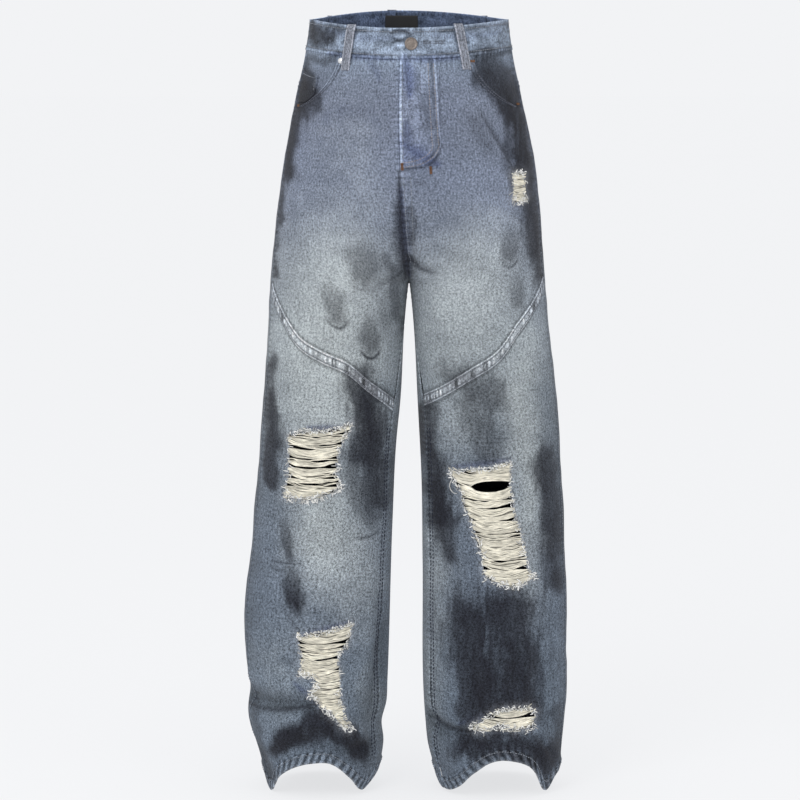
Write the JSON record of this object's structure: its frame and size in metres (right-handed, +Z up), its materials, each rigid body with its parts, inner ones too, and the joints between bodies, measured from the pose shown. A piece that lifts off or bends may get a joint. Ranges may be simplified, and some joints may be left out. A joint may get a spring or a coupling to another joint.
{
  "type": "ripped jeans",
  "caption": "Ripped wide-leg jeans standing open as worn, with a curved seam across each thigh and frayed holes at hip, knees and shins.",
  "frame": {"origin": "middle of the waist opening, where the wearer's waist holds the jeans", "axes": "+Z up the garment, -Y out of its front, +X towards the wearer's left"},
  "size_m": [0.4551, 0.2462, 1.0919],
  "materials": {
    "denim": "washed blue-grey denim twill, faded at the thighs, with charcoal smudges",
    "seam_denim": "raised stitched denim seams, puckered and rubbed pale",
    "weft_thread": "frayed unbleached cotton weft",
    "label": "plain black woven tape",
    "button_metal": "antique copper, brushed and worn",
    "rivet_metal": "bright domed nickel"
  },
  "bodies": {
    "root": {"waistband": "denim", "label": "label", "coin_pocket": "denim", "fly": "denim", "button": "button_metal", "rivet": "rivet_metal", "front_upper_right": "denim", "front_lower_right": "denim", "thigh_welt_right": "seam_denim", "pocket_facing_right": "denim", "yoke_right": "denim", "back_right": "denim", "back_pocket_right": "denim", "hem_right": "seam_denim", "front_upper_left": "denim", "front_lower_left": "denim", "thigh_welt_left": "seam_denim", "pocket_facing_left": "denim", "yoke_left": "denim", "back_left": "denim", "back_pocket_left": "denim", "hem_left": "seam_denim", "belt_loop_front_right": "seam_denim", "belt_loop_front_left": "seam_denim", "belt_loop_back_right": "seam_denim", "belt_loop_back_left": "seam_denim", "belt_loop_back_middle": "seam_denim", "rip_threads_right_knee": "weft_thread", "rip_threads_right_shin": "weft_thread", "rip_threads_left_knee": "weft_thread", "rip_threads_left_hem": "weft_thread", "rip_threads_left_hip": "weft_thread"}
  },
  "joints": []
}
